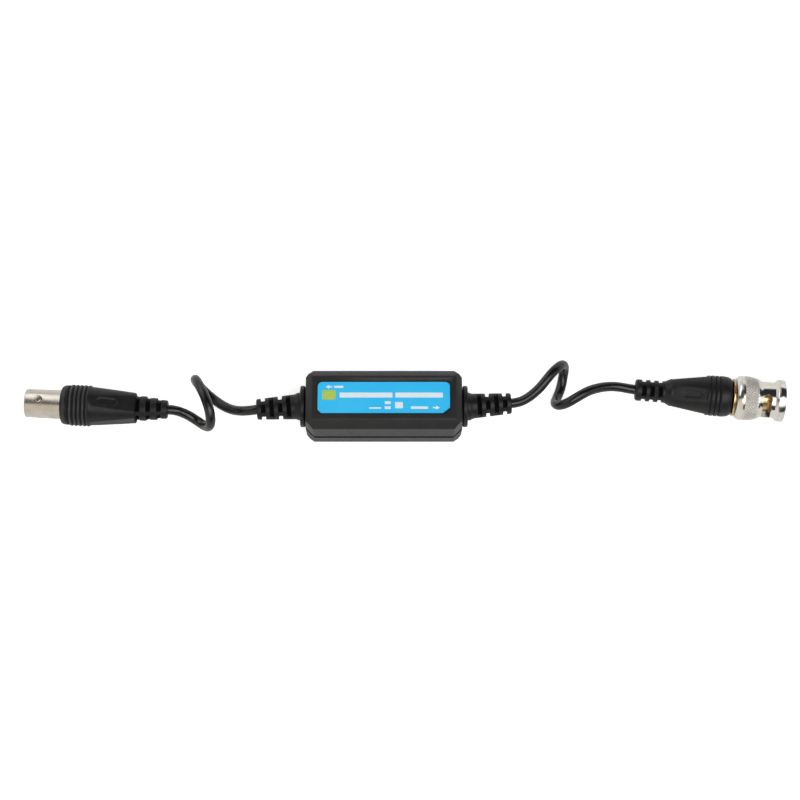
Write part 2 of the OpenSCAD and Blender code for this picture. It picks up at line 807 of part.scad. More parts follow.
// Four flats cut on a tapering boot between two places, at the given distances from the axis
module flats(z0, z1, r0, r1) {
    lean = atan2(r0 - r1, z1 - z0);
    for (a = [0:90:270])
        rotate([0, 0, a]) translate([r0, 0, z0]) rotate([0, -lean, 0])
            translate([0, -10, 0]) cube([6, 20, (z1 - z0) / cos(lean)]);
}

// An oblong recess at a place on the flat that faces up, a plain moulded mark
module oblong_mark(at, z0, z1, r0, r1, l, w) {
    r = r0 + (r1 - r0) * (at - z0) / (z1 - z0);
    rotate([0, 0, 180]) translate([r, 0, at]) rotate([0, -atan2(r0 - r1, z1 - z0), 0])
        translate([-mark_depth, 0, 0]) {
            for (s = [-1, 1]) translate([0, 0, s * (l - w) / 2]) rotate([0, 90, 0]) cylinder(h = 2, d = w);
            translate([0, -w / 2, -(l - w) / 2]) cube([2, w, l - w]);
        }
}

// Moulded boot of the jack
module jack_boot() {
    rib_r = jack_boot_d / 2;
    base_r = rib_r - rib_h;
    front = barrel_l;
    back = barrel_l + jack_boot_l;
    flats_at = front + jack_taper_at;
    flats_end = front + jack_taper_end + 0.05;
    color(black_rubber) at_jack()
        difference() {
            rotate_extrude() polygon(concat(
                [[0, front]],
                arc([base_r - 1.7, front + 1.7], 1.7, -90, 0),
                [
                    for (i = [0:ribs - 1],
                         p = [[base_r, -0.5], [rib_r, -0.25], [rib_r, 0.25], [base_r, 0.5]])
                        [p[0], front + first_rib + i * rib_pitch + p[1]]
                ],
                [
                    [base_r - 0.15, front + jack_taper_at], [5.3, front + jack_taper_end],
                    [4.2, front + jack_taper_end + 0.1], [4.15, front + 29], [3.75, front + 29.1],
                    [3.7, front + 32.5], [3.25, front + 32.6]
                ],
                arc([3.15 - flex_round, back - flex_round], flex_round, 0, 90, 4),
                [[0, back]]
            ));
            flats(flats_at, flats_end, jack_flats[0], jack_flats[1]);
            oblong_mark(front + jack_mark_at, flats_at, flats_end, jack_flats[0], jack_flats[1], 7, 2.6);
            for (i = [0:2])
                slots(front + jack_slots[i], [45, 135, 225, 315], 1.3, slot_core_d - 0.1 * i, 10);
            translate([0, 0, front - 1]) cylinder(h = jack_flange_at - front + 1, d = barrel_d + 2 * snug);
            translate([0, 0, jack_flange_at - snug])
                cylinder(h = jack_flange_t + 2 * snug, d = jack_flange_d + 2 * snug);
            cylinder(h = jack_stem_end + snug, d = jack_stem_d + 2 * snug);
            cylinder(h = jack_cable_at + ferrule_l - nipple_l, d = ferrule_outer + 2 * snug);
            cylinder(h = back + 1, d = cable_bore);
        }
}

// Nickel-plated shell of the jack: barrel with two bayonet studs, flange, stem and nipple
module jack_shell() {
    bore = barrel_d - 2 * barrel_wall;
    color(nickel) at_jack()
        difference() {
            union() {
                rotate_extrude() polygon([
                    [0, 0], [barrel_d / 2 - 0.3, 0], [barrel_d / 2, 0.3], [barrel_d / 2, jack_flange_at],
                    [jack_flange_d / 2, jack_flange_at], [jack_flange_d / 2, jack_flange_at + jack_flange_t],
                    [jack_stem_d / 2, jack_flange_at + jack_flange_t], [jack_stem_d / 2, jack_stem_end],
                    [nipple_d / 2, jack_stem_end], [nipple_d / 2, jack_nipple_end], [0, jack_nipple_end]
                ]);
                for (a = [0, 180])
                    rotate([0, 0, a]) translate([0, 0, stud_at]) rotate([0, 90, 0])
                        cylinder(h = stud_span / 2, d = stud_d);
            }
            translate([0, 0, -1]) cylinder(h = barrel_depth + 1, d = bore);
            cylinder(h = jack_nipple_end + 1, d = jack_inner_d + 2 * snug);
        }
}

// White insulator of the jack
module jack_insulator() {
    color(white_plastic) at_jack()
        rotate_extrude() polygon([
            [socket_d / 2 + snug, jack_insulator_at], [jack_insulator_d / 2 - 0.2, jack_insulator_at],
            [jack_insulator_d / 2, jack_insulator_at + 0.2], [jack_insulator_d / 2, barrel_depth - snug],
            [jack_inner_d / 2, barrel_depth - snug], [jack_inner_d / 2, jack_stem_end],
            [socket_d / 2 + snug, jack_stem_end]
        ]);
}

// Gold-plated middle contact of the jack, slotted so that it grips a pin
module jack_contact() {
    color(gold) at_jack()
        difference() {
            translate([0, 0, jack_contact_at])
                cylinder(h = jack_nipple_end - 0.5 - jack_contact_at, d = socket_d);
            translate([0, 0, jack_contact_at - 1]) cylinder(h = 7, d = socket_bore);
            translate([-socket_d, -0.15, jack_contact_at - 1]) cube([2 * socket_d, 0.3, 5]);
        }
}

// Crimp ferrule over the cable's braid, from one place along an axis for the given length
module ferrule(at, l) {
    translate([0, 0, at])
        difference() {
            cylinder(h = l, d = ferrule_outer);
            translate([0, 0, -1]) cylinder(h = l + 2, d = ferrule_inner);
        }
}

// Ferrule inside the jack's boot
module jack_ferrule() {
    over_cable = ferrule_l - nipple_l;
    color(nickel) at_jack()
        ferrule(jack_stem_end + snug, jack_cable_at - jack_stem_end + over_cable - 2 * snug);
}

// Moulded boot of the plug
module plug_boot() {
    r = plug_boot_d / 2;
    color(black_rubber) at_plug()
        difference() {
            rotate_extrude() polygon(concat(
                [[0, 0]],
                arc([3.65 - 0.8, 0.8], 0.8, -90, 0, 4),
                [
                    [3.65, 10], [4, 10.6], [4.7, 12], [5.4, 14.6], [5.95, 18], [6.35, 21.4],
                    [r - 0.15, 24.2], [r, 26.2], [r, 29.3], [r - 0.1, 30.5], [r - 0.35, 31.4],
                    [r - 0.7, 32], [collar_d / 2 - 0.6, plug_boot_l], [0, plug_boot_l]
                ]
            ));
            for (at = plug_grooves)
                translate([0, 0, at - plug_groove_w / 2])
                    difference() {
                        cylinder(h = plug_groove_w, r = r + 1);
                        translate([0, 0, -1]) cylinder(h = plug_groove_w + 2, r = r - plug_groove_h);
                    }
            rotate([0, 0, plug_roll]) {
                flats(plug_flats_at, plug_flats_end, plug_flats[0], plug_flats[1]);
                oblong_mark(
                    plug_mark_at, plug_flats_at, plug_flats_end, plug_flats[0], plug_flats[1], 6, 2.4
                );
            }
            for (at = plug_slots)
                rotate([0, 0, plug_roll]) slots(at, [45, 135, 225, 315], 1.3, slot_core_d, 10);
            cylinder(h = plug_boot_l + 1, d = cable_bore, center = true);
            translate([0, 0, plug_stem_at - ferrule_l])
                cylinder(h = ferrule_l, d = ferrule_outer + 2 * snug);
            translate([0, 0, plug_stem_at - snug]) cylinder(h = plug_boot_l, d = stem_d + 2 * snug);
        }
}

// Crimp ferrule inside the plug's boot
module plug_ferrule() {
    color(nickel) at_plug() ferrule(plug_stem_at - ferrule_l + snug, ferrule_l - 2 * snug);
}

// Gold-plated body of the plug: nipple, stem, shoulder and slotted outer contact
module plug_body() {
    color(gold) at_plug()
        difference() {
            rotate_extrude() polygon([
                [plug_core_d / 2 + snug, plug_nipple_at], [nipple_d / 2, plug_nipple_at],
                [nipple_d / 2, plug_stem_at], [stem_d / 2, plug_stem_at], [stem_d / 2, shoulder_at],
                [sleeve_bore / 2 - 2 * running, shoulder_at], [sleeve_bore / 2 - 2 * running, contact_at],
                [outer_contact_d / 2, contact_at], [outer_contact_d / 2, contact_end - 0.4],
                [outer_contact_d / 2 - 0.25, contact_end], [outer_contact_bore / 2, contact_end],
                [outer_contact_bore / 2, contact_at + 0.8], [plug_core_d / 2 + snug, contact_at + 0.8]
            ]);
            for (a = [45, 135])
                rotate([0, 0, a]) translate([-outer_contact_d, -0.25, contact_end - 6.5])
                    cube([2 * outer_contact_d, 0.5, 8]);
        }
}

// Gold-plated collar pressed on the stem behind the coupling sleeve
module plug_collar() {
    color(gold) at_plug() translate([0, 0, collar_at])
        difference() {
            union() {
                cylinder(h = collar_t, d = collar_d - 2);
                translate([0, 0, 0.2 * collar_t]) cylinder(h = 0.5 * collar_t, d = collar_d);
            }
            translate([0, 0, -1]) cylinder(h = collar_t + 2, d = stem_d + 2 * snug);
        }
}

// White insulator of the plug, with the cup that goes over the jack's insulator
module plug_insulator() {
    color(white_plastic) at_plug()
        rotate_extrude() polygon([
            [pin_rear_d / 2 + snug, plug_nipple_at], [plug_core_d / 2, plug_nipple_at],
            [plug_core_d / 2, cup_at],
            [outer_contact_bore / 2 - snug, cup_at],
            [outer_contact_bore / 2 - snug, pin_shoulder_at],
            [outer_contact_bore / 2 - 0.35, pin_shoulder_at],
            [outer_contact_bore / 2 - 0.35, cup_at + plug_cup_l],
            [jack_insulator_d / 2 + 0.15, cup_at + plug_cup_l],
            [jack_insulator_d / 2 + 0.15, pin_shoulder_at], [pin_rear_d / 2 + snug, pin_shoulder_at]
        ]);
}

// Gold-plated pin of the plug
module plug_pin() {
    color(gold) at_plug()
        rotate_extrude() polygon([
            [0, plug_nipple_at - 0.3], [pin_rear_d / 2, plug_nipple_at - 0.3],
            [pin_rear_d / 2, pin_shoulder_at], [pin_d / 2, pin_shoulder_at], [pin_d / 2, contact_end - 1],
            [pin_d / 2 - 0.35, contact_end - 0.3], [0, contact_end - 0.3]
        ]);
}

// A flat ring along the plug's axis
module washer(at, t, inner_d, outer_d) {
    translate([0, 0, at])
        difference() {
            cylinder(h = t, d = outer_d);
            translate([0, 0, -1]) cylinder(h = t + 2, d = inner_d);
        }
}

// Silicone gasket that the jack's mouth presses on
module plug_gasket() {
    color([0.75, 0.25, 0.2]) at_plug()
        washer(contact_at + 0.02, gasket_t, outer_contact_d + 2 * snug, sleeve_bore - 6 * running);
}

// Flat washer that slides with the sleeve and lets it turn under the spring washer
module slip_washer() {
    color(nickel) at_plug() washer(slip_at, slip_t, stem_d + 2 * running, sleeve_bore - 4 * running);
}

// Spring washer with three waves between the slip washer and the shoulder
module wave_washer() {
    waves = 3;
    steps = 48;
    inner_r = stem_d / 2 + 0.1;
    outer_r = sleeve_bore / 2 - 0.2;
    rise = (wave_h - wave_t) / 2;
    ring = [
        for (i = [0:steps - 1], k = [0:3])
            let (a = 360 * i / steps, r = k < 2 ? inner_r : outer_r, top = k == 1 || k == 2 ? wave_t : 0)
                [r * cos(a), r * sin(a), wave_at + rise * (1 + sin(waves * a)) + top]
    ];
    skin = [
        for (i = [0:steps - 1], k = [0:3])
            let (a = i * 4, b = ((i + 1) % steps) * 4, j = (k + 1) % 4)
                [a + k, a + j, b + j, b + k]
    ];
    color(nickel) at_plug() polyhedron(ring, [
        for (f = skin, half = [0, 1]) half == 0 ? [f[0], f[1], f[2]] : [f[0], f[2], f[3]]
    ]);
}

// Nickel-plated bayonet sleeve, which turns on the body's stem
module coupling_sleeve() {
    z = sleeve_at;
    drum_r = drum_d / 2;
    neck_r = sleeve_neck_d / 2;
    lip_r = lip_d / 2;
    first = 180 + plug_roll;
    color(nickel) at_plug()
        difference() {
            rotate_extrude() polygon([
                [stem_d / 2 + running, z], [drum_r - 1.1, z], [drum_r - 0.35, z + 0.9], [drum_r, z + 2.1],
                [drum_r - 0.3, z + 2.2], [drum_r - 0.3, z + 2.6], [drum_r, z + 2.7],
                [drum_r - 0.05, z + 4.7],
                [drum_r - 0.3, z + 6], [drum_r - 0.6, z + 7], [drum_r - 1.05, z + 7.9],
                [neck_r + 0.1, z + 8.6], [neck_r, z + 8.8], [neck_r, sleeve_end - 3.4],
                [lip_r, sleeve_end - 2.4], [lip_r - 0.25, sleeve_end - 2.3], [lip_r - 0.25, sleeve_end - 2],
                [lip_r, sleeve_end - 1.9], [lip_r, sleeve_end - 0.4], [lip_r - 0.4, sleeve_end],
                [sleeve_bore / 2 + 0.3, sleeve_end], [sleeve_bore / 2, sleeve_end - 0.3],
                [sleeve_bore / 2, z + sleeve_flange_t], [stem_d / 2 + running, z + sleeve_flange_t]
            ]);
            for (a = [first, first + 180]) {
                rotate([0, 0, a]) translate([0, 0, bayonet_at]) rotate([0, 90, 0])
                    cylinder(h = drum_d, d = bayonet_hole_d);
                rotate([0, 0, a]) translate([0, 0, bayonet_at - bayonet_w / 2])
                    rotate_extrude(angle = bayonet_sweep)
                        translate([stem_d / 2, 0]) square([drum_r, bayonet_w]);
                rotate([0, 0, a + bayonet_sweep]) translate([0, -bayonet_w / 2, bayonet_at - bayonet_w / 2])
                    cube([groove_d / 2, bayonet_w, sleeve_end - bayonet_at + bayonet_w]);
            }
        }
}

lower_shell();
upper_shell();
label();
label_print();
label_badge();
circuit_board();
transformer_core();
primary_winding();
secondary_winding();
bridging_capacitor();
bleed_resistor();
left_cable();
left_grommet();
left_dielectric();
left_core_wire();
left_braid();
right_cable();
right_grommet();
right_dielectric();
right_core_wire();
right_braid();
jack_boot();
jack_shell();
jack_insulator();
jack_contact();
jack_ferrule();
plug_boot();
plug_body();
plug_collar();
plug_insulator();
plug_pin();
plug_ferrule();
plug_gasket();
slip_washer();
wave_washer();
coupling_sleeve();
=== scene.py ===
# Ground loop isolator for video: finishes, finer shapes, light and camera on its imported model
import json
import math
import bmesh
import bpy
from mathutils import Matrix, Vector


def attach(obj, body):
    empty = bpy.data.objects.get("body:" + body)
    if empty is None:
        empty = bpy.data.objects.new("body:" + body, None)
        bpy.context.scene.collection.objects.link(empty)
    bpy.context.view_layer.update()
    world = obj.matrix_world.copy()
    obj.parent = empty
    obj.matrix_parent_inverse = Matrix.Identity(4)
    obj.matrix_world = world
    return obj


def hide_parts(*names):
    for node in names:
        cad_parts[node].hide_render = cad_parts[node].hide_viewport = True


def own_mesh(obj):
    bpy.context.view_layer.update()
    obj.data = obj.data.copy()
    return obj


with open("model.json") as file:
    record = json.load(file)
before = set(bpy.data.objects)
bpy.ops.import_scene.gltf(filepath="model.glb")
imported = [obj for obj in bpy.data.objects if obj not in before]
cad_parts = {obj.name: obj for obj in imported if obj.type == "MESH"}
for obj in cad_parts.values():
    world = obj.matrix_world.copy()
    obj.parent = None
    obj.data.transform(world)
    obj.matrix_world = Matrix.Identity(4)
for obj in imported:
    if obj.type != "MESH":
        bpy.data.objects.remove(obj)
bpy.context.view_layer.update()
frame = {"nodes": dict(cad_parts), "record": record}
nodes = frame["nodes"]
scene = bpy.context.scene
mm = 0.001

# Camera: 72 degrees above the table and about 70 cm away, as for the photograph
cameraSettings = {"place": (0.005369, -0.214237, 0.676414), "tilt": 18, "lens": 93.87, "sensor": 36}
cameraData = bpy.data.cameras.new("camera")
cameraData.lens = cameraSettings["lens"]
cameraData.sensor_width = cameraSettings["sensor"]
cameraData.clip_start, cameraData.clip_end = 0.05, 20
camera = bpy.data.objects.new("camera", cameraData)
camera.location = cameraSettings["place"]
camera.rotation_euler = (math.radians(cameraSettings["tilt"]), 0, 0)
scene.collection.objects.link(camera)
scene.camera = camera
print("camera placed")


def linearColour(hexText):
    parts = [int(hexText[i:i + 2], 16) / 255 for i in (1, 3, 5)]
    return [p / 12.92 if p <= 0.04045 else ((p + 0.055) / 1.055) ** 2.4 for p in parts] + [1]


def addNode(tree, kind, settings=None, links=None):
    node = tree.nodes.new(kind)
    for name, value in (settings or {}).items():
        if isinstance(name, int) or name in node.inputs:
            node.inputs[name].default_value = value
        else:
            setattr(node, name, value)
    for name, socket in (links or {}).items():
        tree.links.new(socket, node.inputs[name])
    return node


def newMaterial(name):
    material = bpy.data.materials.new(name)
    material.use_nodes = True
    material.node_tree.nodes.clear()
    return material, material.node_tree


def colourLayers(tree, start, layers):  # each colour covers those before it as far as its factor says
    under, lower = {6: linearColour(start)}, {}
    for factor, hexText in layers:
        mix = addNode(tree, "ShaderNodeMix", {"data_type": "RGBA", 7: linearColour(hexText), **under},
                      {0: factor, **lower})
        under, lower = {}, {6: mix.outputs[2]}
    return mix.outputs[2]


def finishWith(material, tree, shader):
    addNode(tree, "ShaderNodeOutputMaterial", links={"Surface": shader.outputs[0]})
    return material


# Shared by all finishes of a kind, with sizes in mm. Mould grain, lathe rings and orange peel are finer than this
# in life and are drawn as coarse as they need to show
noiseRoughness = 0.55
mouldLook = {"rubbedFrom": 0.42, "rubbedTo": 0.72, "bump": 0.08, "sheen": 2.2, "sheenDown": 0.05, "sheenUp": 0.06,
             "shadeColour": "#020202"}


def mouldedMaterial(name, look):
    # Spark-eroded mould texture gives a fine even grain and handling leaves lighter rubs; painted shade darkens
    # the marked slots, grooves and rib valleys, and a painted highlight lightens the marked rib crests
    material, tree = newMaterial(name)
    place = addNode(tree, "ShaderNodeTexCoord").outputs["Object"]
    rubs, fine, cloud = (
        addNode(tree, "ShaderNodeTexNoise", {"Scale": 1 / (size * mm), "Detail": detail, "Roughness": noiseRoughness},
                {"Vector": place}).outputs[0]
        for size, detail in ((look["rubs"], 4), (look["grain"], 3), (mouldLook["sheen"], 2)))
    rubbed = addNode(tree, "ShaderNodeMapRange",
                     {"From Min": mouldLook["rubbedFrom"], "From Max": mouldLook["rubbedTo"]}, {"Value": rubs})
    sheen = addNode(tree, "ShaderNodeMapRange", {
        "To Min": look["roughness"] - mouldLook["sheenDown"],
        "To Max": look["roughness"] + mouldLook["sheenUp"]}, {"Value": cloud})
    sunk, crestHighlight = (addNode(tree, "ShaderNodeAttribute", {"attribute_name": kind}).outputs["Fac"]
                  for kind in ("sunk", "crestHighlight"))
    rough = addNode(tree, "ShaderNodeMath", {"operation": "MAXIMUM"}, {0: sheen.outputs[0], 1: sunk})
    bump = addNode(tree, "ShaderNodeBump", {"Strength": look["depth"], "Distance": mouldLook["bump"] * mm},
                   {"Height": fine})
    shader = addNode(tree, "ShaderNodeBsdfPrincipled", {"IOR": look["ior"], "Specular IOR Level": look["gloss"]}, {
        "Base Color": colourLayers(tree, look["colour"], [
            (rubbed.outputs[0], look["rubbed"]), (crestHighlight, look.get("crestHighlight", look["rubbed"])),
            (sunk, mouldLook["shadeColour"])]),
        "Roughness": rough.outputs[0],
        "Normal": bump.outputs[0]})
    return finishWith(material, tree, shader)


plateLook = {"stretch": 0.02, "stainFrom": 0.4, "stainTo": 0.75, "bump": 0.01, "duller": 0.1}


def platedMaterial(name, look, yaw=0.0):
    # Turned on a lathe, then plated: fine rings across the axis, faint tarnish between them, painted shade in the
    # knurl and round the studs
    material, tree = newMaterial(name)
    place = addNode(tree, "ShaderNodeTexCoord").outputs["Object"]
    along = addNode(tree, "ShaderNodeMapping", {"Rotation": (0, 0, math.radians(-yaw))}, {"Vector": place})
    rings = addNode(tree, "ShaderNodeMapping", {"Scale": (1, plateLook["stretch"], plateLook["stretch"])},
                    {"Vector": along.outputs[0]})
    marks, blots = (
        addNode(tree, "ShaderNodeTexNoise", {"Scale": 1 / (size * mm), "Detail": detail, "Roughness": noiseRoughness},
                {"Vector": spot}).outputs[0]
        for size, detail, spot in ((look["marks"], 3, rings.outputs[0]), (look["stain"], 4, place)))
    stain = addNode(tree, "ShaderNodeMapRange",
                    {"From Min": plateLook["stainFrom"], "From Max": plateLook["stainTo"]}, {"Value": blots})
    dull = addNode(tree, "ShaderNodeMapRange",
                   {"To Min": look["roughness"], "To Max": look["roughness"] + plateLook["duller"]},
                   {"Value": stain.outputs[0]})
    sunk, matt = (addNode(tree, "ShaderNodeAttribute", {"attribute_name": kind}).outputs["Fac"]
                  for kind in ("sunk", "matt"))
    rough = addNode(tree, "ShaderNodeMath", {"operation": "MAXIMUM"}, {0: dull.outputs[0], 1: matt})
    edge = addNode(tree, "ShaderNodeBevel", {"samples": 4, "Radius": look["edge"] * mm})
    bump = addNode(tree, "ShaderNodeBump", {"Strength": look["depth"], "Distance": plateLook["bump"] * mm},
                   {"Height": marks, "Normal": edge.outputs[0]})
    shader = addNode(tree, "ShaderNodeBsdfPrincipled", {"Metallic": 1.0}, {
        "Base Color": colourLayers(tree, look["colour"], [
            (stain.outputs[0], look["stained"]), (sunk, look["hollowShade"])]),
        "Roughness": rough.outputs[0],
        "Normal": bump.outputs[0]})
    return finishWith(material, tree, shader)


filmLook = {"from": 0.3, "to": 0.7, "peel": 0.5, "peelStrength": 0.06, "bump": 0.02, "duller": 0.08}


def inkMaterial(name, look):
    # Printed polyester film: flat even ink with a faint orange-peel gloss
    material, tree = newMaterial(name)
    place = addNode(tree, "ShaderNodeTexCoord").outputs["Object"]
    patches, peel = (
        addNode(tree, "ShaderNodeTexNoise",
                {"Scale": 1 / (size * mm), "Detail": 2, "Roughness": noiseRoughness}, {"Vector": place}).outputs[0]
        for size in (look["patch"], filmLook["peel"]))
    shade = addNode(tree, "ShaderNodeMapRange", {"From Min": filmLook["from"], "From Max": filmLook["to"]},
                    {"Value": patches})
    rough = addNode(tree, "ShaderNodeMapRange",
                    {"To Min": look["roughness"], "To Max": look["roughness"] + filmLook["duller"]},
                    {"Value": patches})
    bump = addNode(tree, "ShaderNodeBump", {"Strength": filmLook["peelStrength"], "Distance": filmLook["bump"] * mm},
                   {"Height": peel})
    shader = addNode(tree, "ShaderNodeBsdfPrincipled", {"IOR": 1.5}, {
        "Base Color": colourLayers(tree, look["colour"], [(shade.outputs[0], look["second"])]),
        "Roughness": rough.outputs[0],
        "Normal": bump.outputs[0]})
    return finishWith(material, tree, shader)


# Where the jack and the plug lie, in mm, and the degrees by which each is turned from the box's long axis
jackSeat = {"at": (-120.7, 2.2, 7), "yaw": -2.8}
plugSeat = {"at": (84.7, 6.7, 7.6), "yaw": -4.6}

finishes = {
    # ABS from a spark-eroded mould: fine matt grain, soft light on the broken edges, painted shade in the seam groove
    "shell": mouldedMaterial("textured_black_abs", {
        "colour": "#191a1b", "rubbed": "#202122", "rubs": 9, "grain": 0.6, "depth": 1.0, "ior": 1.53,
        "roughness": 0.44, "gloss": 0.36}),
    # Soft PVC moulded over the cable: duller than the box, painted shade in its slots and between its ribs,
    # and a painted grey highlight on the rib crests
    "rubber": mouldedMaterial("moulded_soft_pvc", {
        "colour": "#121314", "rubbed": "#1a1b1c", "rubs": 4, "grain": 0.4, "depth": 0.4, "ior": 1.5,
        "roughness": 0.4, "gloss": 0.28, "crestHighlight": "#424344"}),
    # PVC extruded over the braid: smooth and shinier, with a narrow streak of light along it
    "jacket": mouldedMaterial("extruded_pvc_jacket", {
        "colour": "#0b0c0d", "rubbed": "#131415", "rubs": 6, "grain": 0.5, "depth": 0.3, "ior": 1.52,
        "roughness": 0.23, "gloss": 0.45}),
    # Polyester film printed from behind: one flat blue under a faint gloss
    "label": inkMaterial("printed_blue_film", {
        "colour": "#30bff9", "second": "#3bc4fa", "patch": 14, "roughness": 0.32}),
    # White ink on the film: matt and slightly uneven
    "print": inkMaterial("white_ink", {
        "colour": "#e6f1f8", "second": "#d9e9f4", "patch": 0.8, "roughness": 0.4}),
    # Yellow-green ink on the film, a little patchy
    "badge": inkMaterial("yellow_green_ink", {
        "colour": "#b9cf4e", "second": "#a6c25a", "patch": 1.2, "roughness": 0.4}),
    # Solder mask over glass cloth: dark glossy green
    "board": inkMaterial("green_solder_mask", {
        "colour": "#14532a", "second": "#0f4522", "patch": 3, "roughness": 0.3}),
    # Pressed and fired powder: dull dark grey
    "ferrite": mouldedMaterial("sintered_ferrite", {
        "colour": "#3a3a3c", "rubbed": "#48484a", "rubs": 2, "grain": 0.3, "depth": 0.5, "ior": 1.8,
        "roughness": 0.6, "gloss": 0.5}),
    # Enamelled wire: reddish and glossy
    "copper": platedMaterial("enamelled_copper_wire", {
        "colour": "#b3683a", "stained": "#8f4c26", "hollowShade": "#5c3018", "marks": 0.4, "stain": 1.5,
        "edge": 0.05, "depth": 0.1, "roughness": 0.28}),
    # Disc dipped in epoxy: smooth glossy brown
    "ceramic": mouldedMaterial("dipped_epoxy_coating", {
        "colour": "#b8662a", "rubbed": "#c67436", "rubs": 1.5, "grain": 0.5, "depth": 0.2, "ior": 1.5,
        "roughness": 0.35, "gloss": 0.5}),
    # Lacquer over a ceramic rod: smooth beige
    "resistor": mouldedMaterial("resistor_lacquer", {
        "colour": "#c9b27c", "rubbed": "#b89f68", "rubs": 1, "grain": 0.4, "depth": 0.15, "ior": 1.5,
        "roughness": 0.35, "gloss": 0.5}),
    # Nickel over turned brass, much handled: warm satin bands, painted shade round the studs
    "jackNickel": platedMaterial("satin_nickel_plate", {
        "colour": "#cdc8bf", "stained": "#bdb6ab", "hollowShade": "#6b6660", "marks": 0.35, "stain": 2.5,
        "edge": 0.08, "depth": 0.3, "roughness": 0.24}, jackSeat["yaw"]),
    # Nickel over polished brass: nearly a mirror, with painted shade only in the valleys of the knurl
    "plugNickel": platedMaterial("bright_nickel_plate", {
        "colour": "#dedbd5", "stained": "#d0ccc5", "hollowShade": "#4a4643", "marks": 0.35, "stain": 3,
        "edge": 0.08, "depth": 0.12, "roughness": 0.12}, plugSeat["yaw"]),
    # A thin gold flash over brass: warm bright streaks with brown between them
    "gold": platedMaterial("gold_flash_on_brass", {
        "colour": "#ceb587", "stained": "#b7965c", "hollowShade": "#6b5226", "marks": 0.3, "stain": 1.6,
        "edge": 0.06, "depth": 0.15, "roughness": 0.18}, plugSeat["yaw"]),
    # Turned PTFE: waxy white without shine
    "insulator": mouldedMaterial("turned_ptfe", {
        "colour": "#e6e5df", "rubbed": "#d8d6cd", "rubs": 2, "grain": 0.4, "depth": 0.15, "ior": 1.35,
        "roughness": 0.45, "gloss": 0.5}),
    # Silicone: dull brick red
    "gasket": mouldedMaterial("silicone_rubber", {
        "colour": "#a8372a", "rubbed": "#b54a3c", "rubs": 1, "grain": 0.4, "depth": 0.2, "ior": 1.41,
        "roughness": 0.5, "gloss": 0.4}),
}
slotFinishes = dict(finishes, nickel=finishes["plugNickel"])
for part in frame["record"]["subparts"]:
    nodes[part["node"]].data.materials.clear()
    nodes[part["node"]].data.materials.append(slotFinishes[part["material_slot"]])
print("finishes made")

# Cords: the same middle lines as in the solids, smoothed between their points
leftRoute = [
    (-92.5, 0.82, 7), (-88.5, 0.63, 7), (-84.5, 0.43, 7), (-80.6, 0.24, 7), (-76.6, 0.04, 7),
    (-72.9, -0.14, 6.98), (-70.5, -0.3, 6.6), (-68.2, -0.7, 5.5), (-65.9, -1.5, 4.4), (-63.6, -2.8, 3.7),
    (-61.3, -4.5, 4.3), (-59.6, -5.9, 6.2), (-58.5, -6.4, 8.9), (-57.9, -5.7, 11.6),
    (-58, -3.7, 13.7), (-58.7, -1, 14.8), (-59.8, 1.9, 14.9), (-61.1, 4.8, 14.1),
    (-62.4, 7.4, 12.5), (-63.4, 9.4, 10.2), (-63.8, 10.2, 7.5), (-63.2, 9.7, 4.9),
    (-61.5, 8.1, 3.1), (-59.1, 6, 2.4), (-56.4, 3.8, 2.6), (-53.8, 1.9, 3.6),
    (-51.2, 0.4, 5.2), (-48.8, -0.6, 7.1), (-46.2, -1.1, 8.7), (-43.9, -1.18, 9.7),
    (-42.2, -1.04, 10), (-40.6, -0.92, 10), (-36.6, -0.63, 10), (-32.4, -0.32, 10), (-28, 0, 10),
    (-24, 0, 10), (-20.9, 0, 10)]
rightRoute = [
    (20.9, 0, 10), (24, 0, 10), (28, 0, 10), (32.4, 0.32, 10), (36.6, 0.63, 10),
    (40.6, 0.92, 10), (42.2, 1.04, 10), (43.9, 1.24, 10.08), (45.9, 1.7, 10.3), (48.1, 2.7, 10.8),
    (50.3, 4.2, 11.5), (52.4, 6.1, 12.2), (54.4, 8.4, 12.7), (56.3, 10.8, 12.6),
    (58.2, 13, 11.6), (59.8, 14.7, 9.8), (60.9, 15.4, 7.4), (61.2, 14.8, 4.9),
    (60.9, 12.9, 3), (60.4, 10.4, 2.1), (59.6, 7.7, 2.1), (58.6, 5.2, 3),
    (57.9, 3.1, 4.8), (58.2, 1.5, 7.2), (59.5, 0.7, 9.5), (61.5, 0.9, 11.2),
    (63.9, 2, 12.3), (66.4, 3.5, 12.4), (68.9, 5, 11.7), (71.6, 6.2, 10.6),
    (74.5, 7.1, 9.5), (77.4, 7.5, 8.6), (80.2, 7.4, 8), (82.9, 7, 7.7),
    (85.7, 6.62, 7.6), (89.3, 6.33, 7.6), (93.2, 6.02, 7.6), (97.4, 5.68, 7.6), (102.6, 5.26, 7.6)]
cordLook = {"diameter": 3.3, "sides": 6, "steps": 8}


def cordAlong(name, route, node):
    curve = bpy.data.curves.new(name, "CURVE")
    curve.dimensions = "3D"
    curve.bevel_depth = cordLook["diameter"] / 2 * mm
    curve.bevel_resolution = cordLook["sides"]
    curve.resolution_u = cordLook["steps"]
    curve.use_fill_caps = True
    line = curve.splines.new("BEZIER")
    line.bezier_points.add(len(route) - 1)
    for point, spot in zip(line.bezier_points, route):
        point.co = Vector(spot) * mm
        point.handle_left_type = point.handle_right_type = "AUTO"
    line.use_smooth = True
    cord = bpy.data.objects.new(name, curve)
    curve.materials.append(finishes["jacket"])
    scene.collection.objects.link(cord)
    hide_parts(node)
    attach(cord, "isolator")
    return cord


def lengthOf(route):
    return sum((Vector(b) - Vector(a)).length for a, b in zip(route, route[1:])) * mm


leftCord = cordAlong("leftCord", leftRoute, "left_cable")
rightCord = cordAlong("rightCord", rightRoute, "right_cable")
print("cords laid", round(lengthOf(leftRoute), 4), round(lengthOf(rightRoute), 4))

